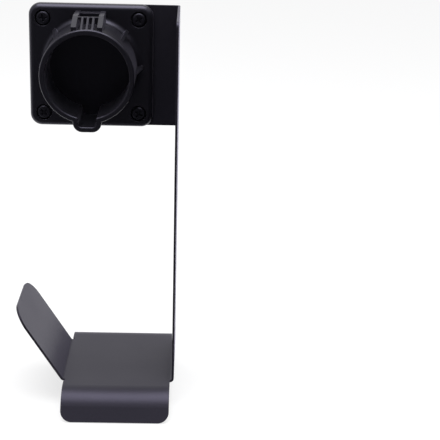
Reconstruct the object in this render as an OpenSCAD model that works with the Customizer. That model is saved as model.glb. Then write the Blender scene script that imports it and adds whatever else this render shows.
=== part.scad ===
// Wall holder for the connector and cable of a vehicle charger.
// A bent sheet bracket carries a moulded connector holster on its side flange and a cable saddle at its foot.
// X runs along the wall, +Y points into the wall and +Z points up. The origin lies on the wall face,
// midway between the two upper wall holes.

/* [Sheet] */
// Thickness of the sheet steel
sheet_t = 1.2; // [0.8:0.1:2]
// Inside radius of the folds
bend_r = 1; // [0.5:0.1:2.5]
// Height of the relief cut below the flange's fold
relief_h = 2.1; // [1:0.1:4]

/* [Wall plate] */
// Width of the wall plate
plate_w = 57; // [51:0.5:72]
// Height from the tray's top face to the top edge
plate_h = 197.5; // [185:0.5:240]
// Width at the narrowest place of the waist
waist_w = 47.8; // [40:0.2:54]
// Height of the narrowest place above the tray
waist_z = 52.4; // [40:0.2:66]
// Height above the tray at which the waist leaves the straight sides
waist_top = 112.5; // [90:0.5:125]
// Radius of the free top corner
plate_corner_r = 3; // [1:0.5:6]

/* [Wall holes] */
// Diameter of the wall holes
wall_hole_d = 6; // [4:0.5:8]
// Spacing of the two upper holes
upper_hole_spacing = 32.8; // [26:0.2:38]
// Distance of the upper holes below the top edge
upper_hole_drop = 8; // [6:0.5:14]
// Height of the middle hole above the tray
middle_hole_z = 98.7; // [80:0.1:120]
// Height of the lower hole above the tray
lower_hole_z = 41.7; // [25:0.1:60]

/* [Flange] */
// Height of the flange that carries the holster
flange_h = 67; // [64:0.5:80]
// Distance from the wall face to the flange's front edge
flange_reach = 80; // [77:0.5:100]
// Radius of the flange's front corners
flange_corner_r = 4; // [1:0.5:7]

/* [Saddle tray] */
// Distance from the wall face to the root of the lip
tray_depth = 60.9; // [45:0.1:80]
// Width of the tray's flat top
tray_flat_w = 70.6; // [66:0.2:90]
// Radius of the shoulders, on the top face
shoulder_r = 14; // [5:0.5:15]
// Slope of the flanks below the horizontal, in degrees
flank_slope = 58; // [40:1:75]
// Drop from the tray's top face to the flanks' lower edges
flank_drop = 14; // [12:0.5:25]
// Radius of the flanks' lower corners
flank_corner_r = 6; // [1:0.5:7]

/* [Lip] */
// Width of the lip
lip_w = 54.5; // [40:0.5:64]
// Length of the lip along its slope
lip_len = 46; // [25:0.5:70]
// Lean of the lip away from the wall, in degrees from upright
lip_lean = 33; // [10:1:50]
// Radius of the lip's top corners
lip_corner_r = 12; // [3:0.5:20]
// Radius of the relief cuts beside the lip's fold
lip_relief_r = 1; // [0.5:0.1:2]

/* [Holster] */
// Side of the holster's square plate
holster_w = 67.5; // [66:0.5:76]
// Thickness of the plate
holster_t = 5; // [4:0.1:8]
// Corner radius of the plate
holster_corner_r = 6.4; // [5:0.1:9]
// Rounding of the plate's front edge
holster_edge_r = 3; // [0.5:0.1:3.5]
// Distance of the socket's axis from the wall face
socket_y = 48.3; // [44:0.1:60]

/* [Socket] */
// Bore of the socket
socket_d = 44.5; // [40:0.1:47]
// Wall of the socket and its keyway
socket_wall = 2.9; // [2:0.1:3.4]
// Distance from the flange's face to the socket's rim
socket_reach = 35; // [28:0.5:45]
// Thickness of the socket's closed floor
floor_t = 4.8; // [1.5:0.1:8]
// Rounding of the rim's edges
rim_r = 0.9; // [0.2:0.1:0.9]
// Width of the keyway below the socket
key_w = 9.4; // [6:0.1:12]
// Depth of the keyway beyond the bore
key_depth = 4.6; // [4.2:0.1:6]
// Outside corner radius of the keyway
key_corner_r = 5; // [3.5:0.1:6.5]
// Radius of the corners between the socket and its keyway
key_blend_r = 1.8; // [0.5:0.1:3]
// Radius of the fillet between the socket and the plate
root_r = 3.5; // [1:0.1:5]
// Reach of the gussets along the plate
gusset_reach = 3.2; // [1:0.1:4]
// Thickness of the gussets
gusset_t = 1.8; // [0.8:0.1:2.4]

/* [Latch catch] */
// Width across the two cheeks
catch_w = 16.4; // [14:0.2:20]
// Thickness of a cheek
cheek_t = 2.7; // [2:0.1:3.4]
// Height of the cheeks' level top above the socket's wall
cheek_rise = 5; // [4.8:0.1:7]
// Height of the cheeks' front above the socket's wall
cheek_front = 1.1; // [0.5:0.1:3]
// Distance of the cheeks' front behind the rim
cheek_back = 1.5; // [0.5:0.1:4]
// Length of the cheeks' sloping part
ramp_len = 13.5; // [8:0.5:18]
// Height of the cross bar's top above the socket's wall
bar_rise = 4.6; // [4:0.1:6]
// Thickness of the cross bar
bar_t = 1.4; // [1:0.1:2]
// Distance of the cross bar ahead of the slope's end
bar_ahead = 1; // [0.5:0.1:3]
// Thickness of the ramp ribs
rib_t = 1.1; // [0.8:0.1:1.6]
// Spacing of the ramp ribs
rib_pitch = 2.9; // [2.5:0.1:3.2]
// Depth of the pocket that the ribs stand in
pocket_depth = 1.7; // [0.5:0.1:1.8]
// Length of the hook window behind the cross bar
window_len = 12; // [6:0.5:13]

/* [Fasteners] */
// Spacing of the screws, both ways
screw_spacing = 52; // [50:0.2:54]
// Thread diameter of the screws
screw_d = 4; // [3:0.5:4.5]
// Diameter of the screw heads
head_d = 7.6; // [6.5:0.1:8.4]
// Height of the screw heads
head_h = 2.6; // [1.8:0.1:3]
// Span of the cross recess
cross_span = 4.2; // [3:0.1:5]
// Width of the cross recess's slots
cross_slot = 1.1; // [0.6:0.1:1.4]
// Depth of the cross recess
cross_depth = 1.3; // [0.8:0.1:1.6]
// Length of the screws' ends beyond the nuts
screw_end = 2.1; // [0.5:0.1:4]
// Width of the nuts across flats
nut_af = 7; // [6:0.1:8]
// Height of the nuts
nut_h = 3.2; // [2:0.1:5]
// Outside diameter of the spring washers
washer_d = 7; // [6.5:0.1:8]
// Thickness of the spring washers
washer_t = 0.9; // [0.5:0.1:1.5]
// Clearance round the screws in their holes, on the radius
hole_gap = 0.25; // [0.1:0.05:0.5]
// Clearance of the nut's thread on the screw, on the radius
thread_gap = 0.05; // [0.02:0.01:0.1]
// Clearance round the screw heads in their recesses, on the radius
head_gap = 0.6; // [0.2:0.1:0.8]

/* [Hidden] */

$fn = 128;
// Facets of the waist's very large circles
waist_fn = 1440;

sheet_black = [0.16, 0.155, 0.18];
moulded_black = [0.11, 0.11, 0.12];
screw_black = [0.07, 0.07, 0.075];
zinc_grey = [0.55, 0.55, 0.56];

// How far a slanted flat is set in from its fold, so that their faces cross instead of only touching
seam = 0.005;
// Angle by which the shoulders' arcs run past their flats
arc_margin = 10;
// How far a rounding of the moulding runs past the face that it meets, so that the two cross
lap = 0.02;
// How far the keyway's rim stays behind the socket's, so that their roundings cross
rim_step = 0.1;

function to_micron(x) = round(1000 * x) / 1000;
// Angle and length by which a fold of inside radius r and its slanted flat run into each other
function seam_turn(r) = 2 * sqrt(seam / (2 * r + sheet_t)) * 180 / PI;
function seam_back(r) = to_micron(sqrt(seam * (2 * r + sheet_t)));

// Heights that the bracket is set out from
z_top = upper_hole_drop;
z_tray = z_top - plate_h;
z_flange = z_top - flange_h;

// Distance from a fold's outer face to the line where the sheet is flat again
fold = sheet_t + bend_r;
// Radius and height of the waist's arcs, which run through the straight sides at waist_top
waist_depth = (plate_w - waist_w) / 2;
waist_chord = waist_top - waist_z;
waist_r = (waist_chord ^ 2 + waist_depth ^ 2) / (2 * waist_depth);

// The lip's fold, and how far it sets back the two flats that meet there
lip_turn = 90 - lip_lean;
lip_set = to_micron(bend_r * tan(lip_turn / 2));
lip_y = tray_depth - lip_set;
wing_len = lip_y - fold;
shoulder_in = shoulder_r - sheet_t;
// Height of the shoulders' axes, at which the flat top comes level with the folds that meet it
shoulder_z = z_tray - shoulder_r + seam;
flank_len = to_micron((flank_drop - shoulder_r * (1 - cos(flank_slope))) / sin(flank_slope));

// The holster sits on the flange's inner face, level with the middle of the flange
flange_x = -plate_w / 2 + sheet_t;
socket_z = z_top - flange_h / 2;
socket_r = socket_d / 2;
barrel_r = socket_r + socket_wall;
key_bottom = socket_r + key_depth;
key_in_r = key_corner_r - socket_wall;

// Stations of the latch catch along the socket's axis, measured from the flange's face
cheek_in = catch_w / 2 - cheek_t;
cheek_end = socket_reach - cheek_back;
ramp_end = cheek_end - ramp_len;
bar_back = ramp_end + bar_ahead;
bar_front = bar_back + bar_t;
window_back = max(holster_t, bar_back - window_len);
ribs = [-1, 0, 1];
gusset_angles = [0, 45, 135, 180, 225, 315];
// How deep the gussets are rooted in the socket's wall, and the catch below its bore before that is cut
root = socket_wall / 2;
// Height at which the keyway's sides leave the middle of the socket's wall
key_start = to_micron(sqrt((socket_r + root) ^ 2 - (key_w / 2 + root) ^ 2));

// Screw seats, and the turns at which the recesses and nuts were left
recess_r = head_d / 2 + head_gap;
seat_w = holster_t - head_h;
shank_len = seat_w + sheet_t + washer_t + nut_h + screw_end;
screw_corners = [[-1, 1], [1, 1], [-1, -1], [1, -1]];
cross_turns = [4, 30, 45, 62];
nut_turns = [26, 26, -6, -6];

// Rounds a corner of radius r at the origin, and reaches out past its edges by a margin
module corner_cut(r, margin = 0) {
    difference() {
        translate([-margin, -margin])
            square(r + margin);
        translate([r, r])
            circle(r);
    }
}

// A fold of the sheet about the Z axis, from angle 0 on
module sheet_fold(r, length, angle) {
    rotate_extrude(angle = angle)
        translate([r, 0])
            square([sheet_t, length]);
}

// Lays an outline drawn in Y and Z flat against X = 0, and gives it thickness h along +X
module along_x(h) {
    rotate([90, 0, 90])
        linear_extrude(h)
            children();
}

module wall_plate_outline() {
    difference() {
        union() {
            translate([-plate_w / 2, z_tray + bend_r])
                square([plate_w, plate_h - flange_h - bend_r]);
            translate([-plate_w / 2 + fold, z_flange])
                square([plate_w - fold, flange_h]);
        }
        translate([plate_w / 2, z_top])
            rotate(180)
                corner_cut(plate_corner_r);
        translate([-plate_w / 2, z_flange - relief_h])
            flange_relief();
        for (side = [-1, 1])
            translate([side * upper_hole_spacing / 2, 0])
                circle(d = wall_hole_d);
        for (z = [middle_hole_z, lower_hole_z])
            translate([0, z_tray + z])
                circle(d = wall_hole_d);
    }
}

// Relief cut with one round corner, which frees the fold from the plate below it
module flange_relief() {
    r = min(relief_h, fold) / 2;
    difference() {
        square([fold, relief_h]);
        translate([fold, 0])
            rotate(90)
                corner_cut(r);
    }
}

module flange_outline() {
    difference() {
        translate([-flange_reach, z_flange])
            square([flange_reach - fold, flange_h]);
        translate([-flange_reach, z_flange])
            corner_cut(flange_corner_r);
        translate([-flange_reach, z_top])
            rotate(-90)
                corner_cut(flange_corner_r);
        for (corner = screw_corners)
            translate([-socket_y, socket_z] + corner * screw_spacing / 2)
                circle(screw_d / 2 + hole_gap);
    }
}

module lip_outline() {
    flat = lip_len - lip_set;
    back = seam_back(bend_r);
    difference() {
        translate([-lip_w / 2, -back])
            square([lip_w, flat + back]);
        translate([-lip_w / 2, flat])
            rotate(-90)
                corner_cut(lip_corner_r);
        translate([lip_w / 2, flat])
            rotate(180)
                corner_cut(lip_corner_r);
    }
}

// Section of the space under a saddle with shoulders of radius r and flanks of the given length
module saddle_space(r, length) {
    across = [sin(flank_slope), cos(flank_slope)];
    along = [cos(flank_slope), -sin(flank_slope)];
    crest = [tray_flat_w / 2, r - seam];
    hip = [tray_flat_w / 2, 0] + (r - seam) * across;
    foot = hip + length * along;
    heel = foot - 2 * sheet_t * across;
    right = [crest, hip, foot, heel];
    polygon(concat(right, [for (i = [len(right) - 1 : -1 : 0]) [-right[i][0], right[i][1]]]));
    for (side = [0, 1])
        mirror([side, 0])
            translate([tray_flat_w / 2, 0])
                intersection() {
                    circle(r);
                    polygon([
                        [0, 0],
                        2 * r * [-sin(arc_margin), cos(arc_margin)],
                        2 * r * [sin(flank_slope + arc_margin), cos(flank_slope + arc_margin)]
                    ]);
                }
}

// Rounds the two lower corners of the right flank
module flank_corners() {
    r = min(flank_corner_r, flank_len);
    translate([tray_flat_w / 2, -lip_y, shoulder_z])
        rotate([0, flank_slope, 0])
            translate([flank_len + seam, wing_len / 2, shoulder_in - sheet_t])
                linear_extrude(3 * sheet_t)
                    for (side = [0, 1])
                        mirror([0, side])
                            translate([0, wing_len / 2 + seam])
                                rotate(180)
                                    corner_cut(r, sheet_t);
}

// The tray with its two shoulders and flanks, and a relief cut at each end of the lip's fold
module saddle_tray() {
    difference() {
        translate([0, -fold, shoulder_z])
            rotate([90, 0, 0])
                linear_extrude(wing_len)
                    difference() {
                        saddle_space(shoulder_r, flank_len);
                        saddle_space(shoulder_in, flank_len + 2 * sheet_t);
                    }
        for (side = [0, 1])
            mirror([side, 0, 0]) {
                flank_corners();
                translate([lip_w / 2 + lip_relief_r, -lip_y, z_tray - 2 * sheet_t])
                    cylinder(r = lip_relief_r, h = 3 * sheet_t);
            }
    }
}

// The long arcs that narrow the wall plate and its foot
module waist_cuts() {
    for (side = [-1, 1])
        translate([side * (waist_w / 2 + waist_r), 0, z_tray + waist_z])
            rotate([90, 0, 0])
                translate([0, 0, -sheet_t])
                    cylinder(r = waist_r, h = sheet_t + fold, $fn = waist_fn);
}

module wall_plate() {
    difference() {
        union() {
            rotate([90, 0, 0])
                linear_extrude(sheet_t)
                    wall_plate_outline();
            translate([-plate_w / 2, -fold, z_tray + bend_r])
                rotate([0, 90, 0])
                    sheet_fold(bend_r, plate_w, 90);
        }
        waist_cuts();
    }
}

module side_flange() {
    translate([-plate_w / 2 + fold, -fold, z_flange])
        rotate([0, 0, 90])
            sheet_fold(bend_r, flange_h, 90);
    translate([-plate_w / 2, 0, 0])
        along_x(sheet_t)
            flange_outline();
}

module lip() {
    translate([0, -lip_y, z_tray + bend_r]) {
        translate([-lip_w / 2, 0, 0])
            mirror([0, 1, 0])
                rotate([0, 90, 0])
                    sheet_fold(bend_r, lip_w, lip_turn + seam_turn(bend_r));
        rotate([-lip_turn, 0, 0])
            translate([0, 0, seam - fold])
                rotate(180)
                    linear_extrude(sheet_t)
                        lip_outline();
    }
}

// Bent from one blank: wall plate, side flange, saddle tray and leaning lip
module wall_bracket() {
    color(sheet_black) {
        wall_plate();
        side_flange();
        saddle_tray();
        lip();
    }
}

// Puts what is drawn about a Z axis, rising from Z = 0, on the flange's inner face with that axis along +X
module on_flange() {
    translate([flange_x, -socket_y, socket_z])
        rotate([90, 0, 90])
            children();
}

module at_screws() {
    for (i = [0 : len(screw_corners) - 1])
        translate(screw_corners[i] * screw_spacing / 2) {
            $turn = i;
            children();
        }
}

// Section of the holster plate's border, with its rounded front edge at the outside
module border_section() {
    e = holster_edge_r;
    c = holster_corner_r;
    intersection() {
        union() {
            square([c, holster_t - e]);
            square([c - e, holster_t]);
            translate([c - e, holster_t - e])
                circle(e);
        }
        square([c, holster_t]);
    }
}

module holster_plate() {
    inner = holster_w - 2 * holster_corner_r;
    translate([-inner / 2, -inner / 2, 0])
        cube([inner, inner, holster_t]);
    for (turn = [0 : 90 : 270])
        rotate(turn)
            translate([inner / 2, inner / 2, 0]) {
                rotate([90, 0, 0])
                    linear_extrude(inner)
                        border_section();
                rotate_extrude(angle = 90)
                    border_section();
            }
}

// Rounds the two corners between a circle of radius r and the sides of a slot that leaves it downwards
module key_blends(r, half) {
    blend_x = half + key_blend_r;
    blend_y = -to_micron(sqrt((r + key_blend_r) ^ 2 - blend_x ^ 2));
    for (side = [-1, 1])
        difference() {
            polygon([[0, 0], [side * blend_x, blend_y], [0, blend_y]]);
            translate([side * blend_x, blend_y])
                circle(key_blend_r);
        }
}

// Outline of the space for the key, below the socket's axis
module key_outline() {
    translate([-key_w / 2, -key_bottom])
        difference() {
            square([key_w, key_bottom]);
            corner_cut(key_in_r);
            translate([key_w, 0])
                rotate(90)
                    corner_cut(key_in_r);
        }
}

// Section of the moulding's wall, from its inner face outwards, with both edges of its rim rounded.
// It is filled inwards up to the rim's rounding, for the bore to be cut out of it.
module wall_section(height, fill) {
    inner = rim_r - lap;
    outer = socket_wall - rim_r;
    translate([-fill, 0])
        square([fill + socket_wall, height - rim_r]);
    translate([inner, 0])
        square([outer - inner, height]);
    for (x = [inner, outer])
        translate([x, height - rim_r])
            circle(rim_r);
}

// Section of the socket, with the fillet at its root
module socket_section() {
    translate([socket_r, 0])
        wall_section(socket_reach, socket_r);
    difference() {
        translate([socket_r, 0])
            square([socket_wall + root_r, holster_t + root_r]);
        translate([barrel_r, holster_t] + (root_r - lap) * [1, 1])
            circle(root_r);
    }
}

// The socket's wall, with the pocket that the catch stands in
module socket() {
    reach = cheek_in + root;
    start = window_back - root;
    difference() {
        rotate_extrude()
            socket_section();
        translate([-reach, barrel_r - pocket_depth, start])
            cube([2 * reach, pocket_depth + root, cheek_end - rim_r - start]);
    }
}

// The keyway's wall, which leaves the socket downwards and turns below the key
module keyway_wall() {
    height = socket_reach - rim_step;
    turn_x = key_w / 2 - key_in_r;
    turn_y = key_bottom - key_in_r;
    for (side = [0, 1])
        mirror([side, 0, 0]) {
            translate([key_w / 2, -key_start, 0])
                rotate([90, 0, 0])
                    linear_extrude(turn_y - key_start)
                        wall_section(height, rim_r);
            translate([turn_x, -turn_y, 0])
                rotate(-90)
                    rotate_extrude(angle = 90)
                        translate([key_in_r, 0])
                            wall_section(height, key_in_r / 2);
        }
    translate([turn_x, -key_bottom, 0])
        rotate([90, 0, -90])
            linear_extrude(2 * turn_x)
                wall_section(height, rim_r);
}

// Upright web about the plane X = 0, from points given as [distance from the flange, height]
module web(thickness, points) {
    rotate([0, -90, 0])
        linear_extrude(thickness, center = true)
            polygon(points);
}

module latch_catch() {
    foot = socket_r - root;
    for (side = [-1, 1])
        translate([side * (cheek_in + cheek_t / 2), 0, 0])
            web(cheek_t, [
                [0, foot],
                [0, barrel_r + cheek_rise],
                [ramp_end, barrel_r + cheek_rise],
                [cheek_end, barrel_r + cheek_front],
                [cheek_end, foot]
            ]);
    for (i = ribs)
        translate([i * rib_pitch, 0, 0])
            web(rib_t, [
                [bar_back, foot],
                [bar_back, barrel_r + bar_rise],
                [bar_front, barrel_r + bar_rise],
                [cheek_end, barrel_r],
                [cheek_end, foot]
            ]);
    // The cross bar that the latch hooks behind
    translate([-cheek_in, barrel_r + bar_rise - bar_t, bar_back])
        cube([2 * cheek_in, bar_t, bar_t]);
    // The back of the hook window
    translate([-cheek_in, foot, 0])
        cube([2 * cheek_in, barrel_r + bar_rise - foot, window_back]);
}

// Gussets slope from their reach on the plate's face down into the socket's wall
module gussets() {
    slope = (gusset_reach + root) / (cheek_end - holster_t);
    for (angle = gusset_angles)
        rotate(angle - 90)
            web(gusset_t, [
                [0, barrel_r - root],
                [0, barrel_r + gusset_reach + slope * holster_t],
                [cheek_end, barrel_r - root]
            ]);
}

// One moulding: plate, socket with keyway, latch catch and gussets
module connector_holster() {
    color(moulded_black)
        on_flange()
            difference() {
                union() {
                    holster_plate();
                    socket();
                    keyway_wall();
                    linear_extrude(socket_reach - 2 * rim_r)
                        key_blends(barrel_r, key_w / 2 + socket_wall);
                    latch_catch();
                    gussets();
                }
                translate([0, 0, floor_t]) {
                    cylinder(r = socket_r, h = socket_reach);
                    linear_extrude(socket_reach) {
                        key_outline();
                        key_blends(socket_r, key_w / 2);
                    }
                }
                at_screws() {
                    translate([0, 0, -holster_t])
                        cylinder(r = screw_d / 2 + hole_gap, h = 3 * holster_t);
                    translate([0, 0, seat_w])
                        cylinder(r = recess_r, h = holster_t);
                }
            }
}

// Section of a screw head with a domed edge
module head_section() {
    dome = head_h / 2;
    intersection() {
        union() {
            square([head_d / 2, head_h - dome]);
            square([head_d / 2 - dome, head_h]);
            translate([head_d / 2 - dome, head_h - dome])
                circle(dome);
        }
        square([head_d / 2, head_h]);
    }
}

module cross_recess() {
    for (turn = [0, 90])
        rotate(turn)
            translate([-cross_span / 2, -cross_slot / 2, head_h - cross_depth])
                cube([cross_span, cross_slot, head_h]);
}

module holster_screws() {
    color(screw_black)
        on_flange()
            at_screws()
                translate([0, 0, seat_w])
                    difference() {
                        union() {
                            rotate_extrude()
                                head_section();
                            translate([0, 0, -shank_len])
                                cylinder(d = screw_d, h = shank_len);
                        }
                        rotate(cross_turns[$turn])
                            cross_recess();
                    }
}

module spring_washers() {
    bore = screw_d / 2 + hole_gap;
    split = washer_t;
    color(zinc_grey)
        on_flange()
            at_screws()
                translate([0, 0, -sheet_t - washer_t])
                    difference() {
                        cylinder(d = washer_d, h = washer_t);
                        translate([0, 0, -washer_t])
                            cylinder(r = bore, h = 3 * washer_t);
                        translate([0, -split / 2, -washer_t])
                            cube([washer_d, split, 3 * washer_t]);
                    }
}

// Section that chamfers the corners of a nut at both faces
module nut_section() {
    corner = nut_af / sqrt(3);
    face = nut_af / 2;
    chamfer = (corner - face) * tan(30);
    polygon([
        [0, 0],
        [face, 0],
        [corner, chamfer],
        [corner, nut_h - chamfer],
        [face, nut_h],
        [0, nut_h]
    ]);
}

module holster_nuts() {
    color(screw_black)
        on_flange()
            at_screws()
                translate([0, 0, -sheet_t - washer_t - nut_h])
                    difference() {
                        intersection() {
                            rotate(nut_turns[$turn])
                                cylinder(d = 2 * nut_af / sqrt(3), h = nut_h, $fn = 6);
                            rotate_extrude()
                                nut_section();
                        }
                        translate([0, 0, -nut_h])
                            cylinder(r = screw_d / 2 + thread_gap, h = 3 * nut_h);
                    }
}

wall_bracket();
connector_holster();
holster_screws();
spring_washers();
holster_nuts();
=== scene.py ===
import math

import bpy
from bpy.props import FloatProperty, FloatVectorProperty, PointerProperty
from bpy.types import Operator, Panel, PropertyGroup
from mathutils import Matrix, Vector


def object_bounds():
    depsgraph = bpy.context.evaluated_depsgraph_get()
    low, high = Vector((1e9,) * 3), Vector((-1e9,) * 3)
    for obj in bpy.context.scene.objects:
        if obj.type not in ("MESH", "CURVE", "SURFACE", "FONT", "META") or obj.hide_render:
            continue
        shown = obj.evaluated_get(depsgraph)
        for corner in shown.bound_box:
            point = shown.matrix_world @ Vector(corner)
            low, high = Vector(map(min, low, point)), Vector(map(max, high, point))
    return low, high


bl_info = {
    "name": "Connector holder finishes",
    "version": (1, 0, 0),
    "blender": (4, 5, 0),
    "location": "3D View > Sidebar > Holder",
    "description": "Finishes a wall holder for a charging connector and sets it on a studio floor",
    "category": "Object",
}

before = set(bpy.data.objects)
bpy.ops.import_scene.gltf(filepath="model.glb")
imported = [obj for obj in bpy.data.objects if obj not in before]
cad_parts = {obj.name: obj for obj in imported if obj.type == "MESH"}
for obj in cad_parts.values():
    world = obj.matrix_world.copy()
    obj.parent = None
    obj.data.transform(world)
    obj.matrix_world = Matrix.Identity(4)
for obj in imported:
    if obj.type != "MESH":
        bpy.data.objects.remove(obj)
CAD_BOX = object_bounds()
FLOOR_Z = CAD_BOX[0].z
MIDDLE = (CAD_BOX[0] + CAD_BOX[1]) / 2

MM = 0.001

WHITE = (1, 1, 1)
WHOLE_RANGE = (0, 1)

# Grain that all finishes share: the peel's size in grains, and the grain heights that turn pale
GRAIN_GROUP = "surface_grain"
PEEL_GRAINS = 4.0
PALE_HEIGHTS = (0.45, 0.75)

# Shader values of the coat and the moulding
GLOSS_LEVEL = 0.45
BLOOM_SPREAD = 0.35
DULLEST = 0.95

# How much paler the mottling of the steel is than its colour
PALER = 1.35

EDGE_SAMPLES = 6
SHELTER_SAMPLES = 8

# Room between the curtains and the floor
CURTAIN_LIFT = 2 * MM


class PowderCoatSettings(PropertyGroup):
    """The bracket's black powder coat"""

    colour: FloatVectorProperty(
        name="Colour", description="Colour of the coat", subtype="COLOR",
        default=(0.0056, 0.0053, 0.0070), min=0, max=1,
    )
    light_colour: FloatVectorProperty(
        name="Light grain", description="Colour of the coat's paler grains", subtype="COLOR",
        default=(0.0090, 0.0086, 0.0112), min=0, max=1,
    )
    gloss_colour: FloatVectorProperty(
        name="Gloss", description="Tint of the coat's gloss", subtype="COLOR",
        default=(0.76, 0.71, 1.0), min=0, max=1,
    )
    bloom_colour: FloatVectorProperty(
        name="Bloom", description="Tint of the coat where it is seen at a flat angle",
        subtype="COLOR", default=(0.78, 0.73, 1.0), min=0, max=1,
    )
    bloom: FloatProperty(
        name="Bloom share", description="Strength of the coat's light at a flat angle",
        subtype="FACTOR", default=0.22, min=0, max=1,
    )
    roughness: FloatVectorProperty(
        name="Roughness", description="Lowest and highest roughness of the coat", size=2,
        default=(0.40, 0.50), min=0, max=1,
    )
    drift: FloatProperty(
        name="Drift", description="Size of the slow changes in the coat's roughness", unit="LENGTH",
        default=35 * MM, min=1 * MM, max=500 * MM,
    )
    fold: FloatProperty(
        name="Fold", description="Reach of the dull coat above the fold of the lip", unit="LENGTH",
        default=28 * MM, min=1 * MM, max=100 * MM,
    )
    dulling: FloatProperty(
        name="Fold dulling", description="Strength of the rise in roughness towards the fold of the lip",
        subtype="FACTOR", default=4.0, min=0, max=6,
    )
    grain: FloatProperty(
        name="Grain", description="Size of the coat's fine grains", unit="LENGTH",
        default=0.45 * MM, min=0.05 * MM, max=5 * MM,
    )
    relief: FloatProperty(
        name="Relief", description="Height of the coat's grains", unit="LENGTH",
        default=0.018 * MM, min=0, max=0.5 * MM,
    )
    edge: FloatProperty(
        name="Edge", description="Rounding of the coated sheet's edges", unit="LENGTH",
        default=0.3 * MM, min=0, max=1 * MM,
    )


class MouldingSettings(PropertyGroup):
    """The holster's moulded plastic"""

    colour: FloatVectorProperty(
        name="Colour", description="Colour of the plastic", subtype="COLOR",
        default=(0.0042, 0.0040, 0.0055), min=0, max=1,
    )
    light_colour: FloatVectorProperty(
        name="Light grain", description="Colour of the plastic's paler flecks", subtype="COLOR",
        default=(0.0068, 0.0065, 0.0088), min=0, max=1,
    )
    gloss_colour: FloatVectorProperty(
        name="Gloss", description="Tint of the plastic's gloss", subtype="COLOR",
        default=(0.78, 0.75, 1.0), min=0, max=1,
    )
    bloom_colour: FloatVectorProperty(
        name="Bloom", description="Tint of the plastic where it is seen at a flat angle",
        subtype="COLOR", default=(0.80, 0.76, 1.0), min=0, max=1,
    )
    bloom: FloatProperty(
        name="Bloom share", description="Strength of the plastic's light at a flat angle",
        subtype="FACTOR", default=0.04, min=0, max=1,
    )
    roughness: FloatVectorProperty(
        name="Roughness", description="Lowest and highest roughness of the plastic", size=2,
        default=(0.28, 0.36), min=0, max=1,
    )
    drift: FloatProperty(
        name="Drift", description="Size of the slow changes in the plastic's roughness",
        unit="LENGTH", default=25 * MM, min=1 * MM, max=500 * MM,
    )
    grain: FloatProperty(
        name="Grain", description="Size of the mould's eroded texture", unit="LENGTH",
        default=0.3 * MM, min=0.05 * MM, max=5 * MM,
    )
    relief: FloatProperty(
        name="Relief", description="Height of the mould's eroded texture", unit="LENGTH",
        default=0.01 * MM, min=0, max=0.5 * MM,
    )
    edge: FloatProperty(
        name="Edge", description="Rounding of the moulding's small edges", unit="LENGTH",
        default=0.35 * MM, min=0, max=1 * MM,
    )


class FastenerSettings(PropertyGroup):
    """The screws, nuts and spring washers"""

    black: FloatVectorProperty(
        name="Black", description="Colour of the blackened steel", subtype="COLOR",
        default=(0.0032, 0.0031, 0.0042), min=0, max=1,
    )
    black_gloss: FloatVectorProperty(
        name="Black gloss", description="Tint of the blackened steel's gloss", subtype="COLOR",
        default=(0.78, 0.75, 1.0), min=0, max=1,
    )
    black_roughness: FloatVectorProperty(
        name="Black roughness", description="Lowest and highest roughness of the blackened steel",
        size=2, default=(0.28, 0.40), min=0, max=1,
    )
    zinc: FloatVectorProperty(
        name="Zinc", description="Colour of the zinc plating", subtype="COLOR",
        default=(0.50, 0.50, 0.51), min=0, max=1,
    )
    zinc_roughness: FloatVectorProperty(
        name="Zinc roughness", description="Lowest and highest roughness of the zinc plating",
        size=2, default=(0.30, 0.42), min=0, max=1,
    )
    drift: FloatProperty(
        name="Mottling", description="Size of the mottling of both finishes", unit="LENGTH",
        default=2 * MM, min=0.1 * MM, max=50 * MM,
    )
    grain: FloatProperty(
        name="Grain", description="Size of the fine pits in both finishes", unit="LENGTH",
        default=0.12 * MM, min=0.05 * MM, max=5 * MM,
    )
    relief: FloatProperty(
        name="Relief", description="Depth of the fine pits in both finishes", unit="LENGTH",
        default=0.004 * MM, min=0, max=0.5 * MM,
    )
    edge: FloatProperty(
        name="Edge", description="Rounding of the fasteners' edges", unit="LENGTH",
        default=0.15 * MM, min=0, max=1 * MM,
    )


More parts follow.
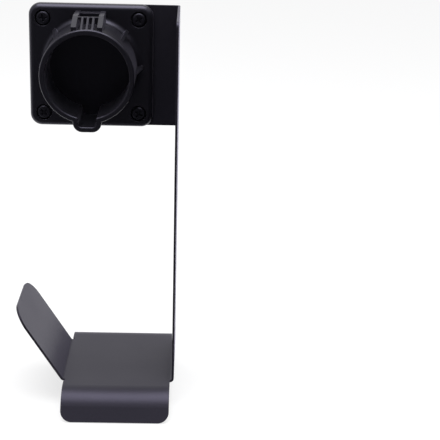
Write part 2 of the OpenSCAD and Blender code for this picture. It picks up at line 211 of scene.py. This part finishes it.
class StageSettings(PropertyGroup):
    """Floor, curtains, light and camera"""

    floor_colour: FloatVectorProperty(
        name="Floor", description="Colour of the floor", subtype="COLOR",
        default=(0.85, 0.85, 0.86), min=0, max=1,
    )
    floor_size: FloatProperty(
        name="Floor size", description="Side of the floor", unit="LENGTH", default=8.0, min=1,
    )
    floor_white: FloatProperty(
        name="Floor white", description="Share of plain white in the floor as it is seen",
        subtype="FACTOR", default=0.7, min=0, max=1,
    )
    room_light: FloatProperty(
        name="Room light", description="Strength of the even light from all round",
        default=0.85, min=0,
    )
    curtain_colour: FloatVectorProperty(
        name="Curtain", description="Colour of the two dark curtains", subtype="COLOR",
        default=(0.04, 0.04, 0.04), min=0, max=1,
    )
    curtain_far: FloatProperty(
        name="Curtain depth", description="Distance from the frame's origin at which both curtains rise",
        unit="LENGTH", default=1.2, min=1.0,
    )
    curtain_height: FloatProperty(
        name="Curtain height", description="Height of both curtains above the floor", unit="LENGTH",
        default=0.9, min=0.1,
    )
    front_near: FloatProperty(
        name="Front curtain start", description="Distance from the frame's origin to the front curtain",
        unit="LENGTH", default=0.06, min=0.05, max=0.95,
    )
    front_width: FloatProperty(
        name="Front curtain width", description="Width of the curtain before the socket",
        unit="LENGTH", default=4.0, min=0.1,
    )
    wall_near: FloatProperty(
        name="Wall curtain start", description="Distance from the frame's origin to the wall's curtain",
        unit="LENGTH", default=0.9, min=0.05, max=0.95,
    )
    wall_width: FloatProperty(
        name="Wall curtain width", description="Width of the curtain on the wall side",
        unit="LENGTH", default=1.8, min=0.1,
    )
    top_power: FloatProperty(
        name="Top light", description="Power of the soft light overhead", unit="POWER",
        default=10.0, min=0,
    )
    top_size: FloatProperty(
        name="Top light size", description="Side of the soft light overhead", unit="LENGTH",
        default=0.75, min=0.05,
    )
    top_place: FloatVectorProperty(
        name="Top light place", description="Where the soft light hangs, from the holder's middle",
        subtype="XYZ", unit="LENGTH", default=(0.1, 0.0, 0.8),
    )
    camera_place: FloatVectorProperty(
        name="Camera place", description="Where the camera stands", subtype="XYZ", unit="LENGTH",
        default=(0.6775, 0.0074, 0.1156),
    )
    camera_turn: FloatVectorProperty(
        name="Camera turn", description="How the camera is turned", subtype="EULER", unit="ROTATION",
        default=(math.radians(71.95), math.radians(-1.41), math.radians(89.07)),
    )
    lens: FloatProperty(
        name="Lens", description="Focal length of the camera", unit="CAMERA", default=105.9, min=10,
    )


def math_node(tree, operation, first, second):
    """A Math node whose two operands are sockets or plain numbers."""
    node = tree.nodes.new("ShaderNodeMath")
    node.operation = operation
    for socket, operand in zip(node.inputs, (first, second)):
        if isinstance(operand, bpy.types.NodeSocket):
            tree.links.new(operand, socket)
        else:
            socket.default_value = operand
    return node.outputs[0]


def spread(tree, value, source, target):
    """A value carried over from one range to another."""
    node = tree.nodes.new("ShaderNodeMapRange")
    for end, number in zip(("From Min", "From Max", "To Min", "To Max"), (*source, *target)):
        node.inputs[end].default_value = number
    tree.links.new(value, node.inputs["Value"])
    return node.outputs["Result"]


def mixed_colour(tree, mask, first, second):
    """Colour between two by a mask."""
    node = tree.nodes.new("ShaderNodeMix")
    node.data_type = "RGBA"
    tree.links.new(mask, node.inputs["Factor"])
    node.inputs["A"].default_value = (*first, 1)
    node.inputs["B"].default_value = (*second, 1)
    return node.outputs["Result"]


def soft_edges(tree, radius):
    """Normal of the surface with its sharp edges rounded."""
    node = tree.nodes.new("ShaderNodeBevel")
    node.samples = EDGE_SAMPLES
    node.inputs["Radius"].default_value = radius
    return node.outputs["Normal"]


def bump(tree, height, distance, normal):
    """Normal of a surface with the given relief on it."""
    node = tree.nodes.new("ShaderNodeBump")
    node.inputs["Distance"].default_value = distance
    tree.links.new(height, node.inputs["Height"])
    tree.links.new(normal, node.inputs["Normal"])
    return node.outputs["Normal"]


def grain_group():
    """Grain of a sprayed, moulded or plated surface: its height, a fleck mask and a slow drift."""
    group = bpy.data.node_groups.new(GRAIN_GROUP, "ShaderNodeTree")
    for name in ("Grain Size", "Drift Size"):
        group.interface.new_socket(name, in_out="INPUT", socket_type="NodeSocketFloat")
    for name in ("Height", "Fleck", "Drift"):
        group.interface.new_socket(name, in_out="OUTPUT", socket_type="NodeSocketFloat")
    sizes = group.nodes.new("NodeGroupInput").outputs
    results = group.nodes.new("NodeGroupOutput").inputs
    place = group.nodes.new("ShaderNodeTexCoord").outputs["Object"]

    def noise(size, detail):
        node = group.nodes.new("ShaderNodeTexNoise")
        node.inputs["Detail"].default_value = detail
        group.links.new(place, node.inputs["Vector"])
        group.links.new(math_node(group, "DIVIDE", 1.0, size), node.inputs["Scale"])
        return node.outputs["Fac"]

    fine = noise(sizes["Grain Size"], detail=3.0)
    peel = noise(math_node(group, "MULTIPLY", sizes["Grain Size"], PEEL_GRAINS), detail=1.0)
    drift = noise(sizes["Drift Size"], detail=2.0)
    group.links.new(math_node(group, "ADD", fine, peel), results["Height"])
    group.links.new(spread(group, fine, PALE_HEIGHTS, WHOLE_RANGE), results["Fleck"])
    group.links.new(drift, results["Drift"])
    return group


def grain_node(tree, grain_size, drift_size):
    """Places the shared grain in a material."""
    node = tree.nodes.new("ShaderNodeGroup")
    node.node_tree = bpy.data.node_groups.get(GRAIN_GROUP) or grain_group()
    node.inputs["Grain Size"].default_value = grain_size
    node.inputs["Drift Size"].default_value = drift_size
    return node


def new_material(name):
    """A material with its Principled shader; returns the material, its tree and that shader."""
    material = bpy.data.materials.new(name)
    material.use_nodes = True
    return material, material.node_tree, material.node_tree.nodes["Principled BSDF"]


def grained_material(name, settings, mask, colours, roughness, gloss_colour):
    """A finish whose two colours are mixed by one of the grain's masks and whose roughness drifts.

    Returns the material, its tree and its shader.
    """
    material, tree, shader = new_material(name)
    grain = grain_node(tree, settings.grain, settings.drift)
    colour = mixed_colour(tree, grain.outputs[mask], *colours)
    drifting = spread(tree, grain.outputs["Drift"], WHOLE_RANGE, roughness)
    normal = bump(tree, grain.outputs["Height"], settings.relief, soft_edges(tree, settings.edge))
    tree.links.new(colour, shader.inputs["Base Color"])
    tree.links.new(drifting, shader.inputs["Roughness"])
    tree.links.new(normal, shader.inputs["Normal"])
    shader.inputs["Specular Tint"].default_value = (*gloss_colour, 1)
    return material, tree, shader


def blooming_material(name, settings):
    """Powder coat or plastic with pale flecks, which turns paler where it is seen at a flat angle."""
    colours = (settings.colour, settings.light_colour)
    material, tree, shader = grained_material(
        name, settings, "Fleck", colours, settings.roughness, settings.gloss_colour
    )
    shader.inputs["Specular IOR Level"].default_value = GLOSS_LEVEL
    shader.inputs["Sheen Weight"].default_value = settings.bloom
    shader.inputs["Sheen Roughness"].default_value = BLOOM_SPREAD
    shader.inputs["Sheen Tint"].default_value = (*settings.bloom_colour, 1)
    return material, tree, shader


def steel_material(name, settings, colour, roughness, gloss_colour, metallic):
    """Turned or stamped steel with a mottled finish."""
    pale = [min(1, PALER * part) for part in colour]
    material, _, shader = grained_material(
        name, settings, "Drift", (colour, pale), roughness, gloss_colour
    )
    shader.inputs["Metallic"].default_value = metallic
    return material


def dull_fold(tree, shader, reach, gain):
    """Roughens a coat towards the fold below a face that leans to +Y, where powder lands thin and dry."""
    open_sky = tree.nodes.new("ShaderNodeAmbientOcclusion")
    open_sky.samples = SHELTER_SAMPLES
    open_sky.inputs["Distance"].default_value = reach
    sheltered = math_node(tree, "SUBTRACT", 1.0, open_sky.outputs["AO"])
    facing = tree.nodes.new("ShaderNodeSeparateXYZ")
    tree.links.new(tree.nodes.new("ShaderNodeTexCoord").outputs["Normal"], facing.inputs["Vector"])
    leaning = math_node(tree, "MAXIMUM", facing.outputs["Y"], 0.0)
    dry = math_node(tree, "MULTIPLY", math_node(tree, "MULTIPLY", sheltered, leaning), gain)
    rough = shader.inputs["Roughness"]
    dulled = math_node(tree, "ADD", rough.links[0].from_socket, dry)
    tree.links.new(math_node(tree, "MINIMUM", dulled, DULLEST), rough)


def dress(node, material):
    """Gives a node its one material."""
    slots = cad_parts[node].data.materials
    slots.clear()
    slots.append(material)


class HOLDER_OT_coat_bracket(Operator):
    """Gives the bent bracket its black powder coat"""

    bl_idname = "holder.coat_bracket"
    bl_label = "Coat bracket"

    def execute(self, context):
        settings = context.scene.holder_coat
        material, tree, shader = blooming_material("black_powder_coat", settings)
        dull_fold(tree, shader, settings.fold, settings.dulling)
        dress("wall_bracket", material)
        return {"FINISHED"}


class HOLDER_OT_mould_holster(Operator):
    """Gives the holster its matte black plastic"""

    bl_idname = "holder.mould_holster"
    bl_label = "Mould holster"

    def execute(self, context):
        material, _, _ = blooming_material("black_moulding", context.scene.holder_moulding)
        dress("connector_holster", material)
        return {"FINISHED"}


class HOLDER_OT_finish_fasteners(Operator):
    """Blackens the screws and nuts and plates the spring washers"""

    bl_idname = "holder.finish_fasteners"
    bl_label = "Finish fasteners"

    def execute(self, context):
        settings = context.scene.holder_fasteners
        black = steel_material(
            "blackened_steel", settings, settings.black, settings.black_roughness,
            settings.black_gloss, metallic=0.0,
        )
        zinc = steel_material(
            "zinc_plate", settings, settings.zinc, settings.zinc_roughness, WHITE, metallic=1.0
        )
        dress("holster_screws", black)
        dress("holster_nuts", black)
        dress("spring_washers", zinc)
        return {"FINISHED"}


def make_matte(shader, colour):
    """Gives a shader one colour and no gloss."""
    shader.inputs["Base Color"].default_value = (*colour, 1)
    shader.inputs["Roughness"].default_value = 1.0
    shader.inputs["Specular IOR Level"].default_value = 0.0


def floor_material(settings):
    """A pale floor that looks nearly white and still takes the holder's shadow."""
    material, tree, shader = new_material("pale_floor")
    make_matte(shader, settings.floor_colour)
    white = tree.nodes.new("ShaderNodeEmission")
    rays = tree.nodes.new("ShaderNodeLightPath")
    seen = math_node(tree, "MAXIMUM", rays.outputs["Is Camera Ray"], rays.outputs["Is Glossy Ray"])
    seen = math_node(tree, "MAXIMUM", seen, rays.outputs["Is Transmission Ray"])
    mix = tree.nodes.new("ShaderNodeMixShader")
    tree.links.new(math_node(tree, "MULTIPLY", seen, settings.floor_white), mix.inputs["Fac"])
    tree.links.new(shader.outputs["BSDF"], mix.inputs[1])
    tree.links.new(white.outputs["Emission"], mix.inputs[2])
    tree.links.new(mix.outputs["Shader"], tree.nodes["Material Output"].inputs["Surface"])
    return material


def curtain_material(settings):
    """Dull dark cloth."""
    material, _, shader = new_material("dark_curtain")
    make_matte(shader, settings.curtain_colour)
    return material


def add_plane(name, size, place):
    """Adds a plane as the only selected object."""
    bpy.ops.object.select_all(action="DESELECT")
    bpy.ops.mesh.primitive_plane_add(size=size, location=place)
    plane = bpy.context.object
    plane.name = name
    return plane


def lay_floor(settings):
    """Lays the floor under the holder's lowest point."""
    floor = add_plane("studio_floor", size=settings.floor_size, place=(0, 0, FLOOR_Z))
    floor.data.materials.append(floor_material(settings))


def hang_curtain(name, cloth, settings, near, width, turn):
    """Lays a curtain on the floor along +X, lifts its far end, and turns it about Z.

    It shows only in the gloss: the camera does not see it, and it casts no shadow.
    """
    depth = settings.curtain_far - near
    middle = (near + depth / 2, 0, FLOOR_Z + CURTAIN_LIFT)
    curtain = add_plane(name, size=1, place=middle)
    curtain.scale = (depth, width, 1)
    bpy.ops.object.transform_apply(location=True, scale=True)
    bpy.ops.object.mode_set(mode="EDIT")
    bpy.ops.mesh.select_mode(type="EDGE")
    bpy.ops.mesh.select_all(action="DESELECT")
    bpy.ops.object.mode_set(mode="OBJECT")
    vertices = curtain.data.vertices
    for edge in curtain.data.edges:
        edge.select = all(vertices[i].co.x > settings.curtain_far - MM for i in edge.vertices)
    bpy.ops.object.mode_set(mode="EDIT")
    lift = (0, 0, settings.curtain_height)
    bpy.ops.mesh.extrude_region_move(TRANSFORM_OT_translate={"value": lift})
    bpy.ops.object.mode_set(mode="OBJECT")
    curtain.rotation_euler.z = turn
    bpy.ops.object.transform_apply(rotation=True)
    curtain.data.materials.append(cloth)
    curtain.visible_camera = False
    curtain.visible_diffuse = False
    curtain.visible_shadow = False


def hang_top_light(settings):
    """Hangs a soft square light overhead, turned to the holder's middle."""
    hung = Vector(settings.top_place)
    turn = hung.to_track_quat("Z", "Y").to_euler()
    bpy.ops.object.light_add(type="AREA", location=MIDDLE + hung, rotation=turn)
    lamp = bpy.context.object.data
    lamp.energy = settings.top_power
    lamp.size = settings.top_size


def light_room(settings):
    """Lights the room evenly from all round."""
    world = bpy.data.worlds.new("studio_room")
    world.use_nodes = True
    background = world.node_tree.nodes["Background"]
    background.inputs["Color"].default_value = (*WHITE, 1)
    background.inputs["Strength"].default_value = settings.room_light
    bpy.context.scene.world = world


def stand_camera(settings):
    """Stands the camera beside the holder, so that it looks into the socket."""
    bpy.ops.object.camera_add(location=settings.camera_place, rotation=settings.camera_turn)
    camera = bpy.context.object
    camera.data.lens = settings.lens
    bpy.context.scene.camera = camera
    bpy.context.scene.view_settings.view_transform = "Standard"


class HOLDER_OT_set_stage(Operator):
    """Sets out the floor, the curtains, the light and the camera"""

    bl_idname = "holder.set_stage"
    bl_label = "Set stage"

    def execute(self, context):
        settings = context.scene.holder_stage
        lay_floor(settings)
        cloth = curtain_material(settings)
        hang_curtain(
            "front_curtain", cloth, settings, settings.front_near, settings.front_width, turn=0
        )
        hang_curtain(
            "wall_curtain", cloth, settings, settings.wall_near, settings.wall_width, turn=math.pi / 2
        )
        hang_top_light(settings)
        light_room(settings)
        stand_camera(settings)
        return {"FINISHED"}


class HOLDER_PT_finishes(Panel):
    """Lists the finishes and the stage"""

    bl_label = "Connector holder"
    bl_idname = "HOLDER_PT_finishes"
    bl_space_type = "VIEW_3D"
    bl_region_type = "UI"
    bl_category = "Holder"

    def draw(self, context):
        for operator, settings in STEPS.items():
            self.layout.operator(operator.bl_idname)
            group = getattr(context.scene, settings)
            for name in group.__annotations__:
                self.layout.prop(group, name)


SETTINGS = {
    "holder_coat": PowderCoatSettings,
    "holder_moulding": MouldingSettings,
    "holder_fasteners": FastenerSettings,
    "holder_stage": StageSettings,
}
STEPS = {
    HOLDER_OT_coat_bracket: "holder_coat",
    HOLDER_OT_mould_holster: "holder_moulding",
    HOLDER_OT_finish_fasteners: "holder_fasteners",
    HOLDER_OT_set_stage: "holder_stage",
}
CLASSES = (*SETTINGS.values(), *STEPS, HOLDER_PT_finishes)


def register():
    """Adds the classes to Blender and one group of each kind of settings to the scene."""
    for kind in CLASSES:
        bpy.utils.register_class(kind)
    for name, group in SETTINGS.items():
        setattr(bpy.types.Scene, name, PointerProperty(type=group))


def unregister():
    """Takes back what register has added."""
    for name in SETTINGS:
        delattr(bpy.types.Scene, name)
    for kind in reversed(CLASSES):
        bpy.utils.unregister_class(kind)


def main():
    """Finishes the holder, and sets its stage."""
    register()
    bpy.ops.holder.coat_bracket()
    bpy.ops.holder.mould_holster()
    bpy.ops.holder.finish_fasteners()
    bpy.ops.holder.set_stage()


if __name__ == "__main__":
    main()
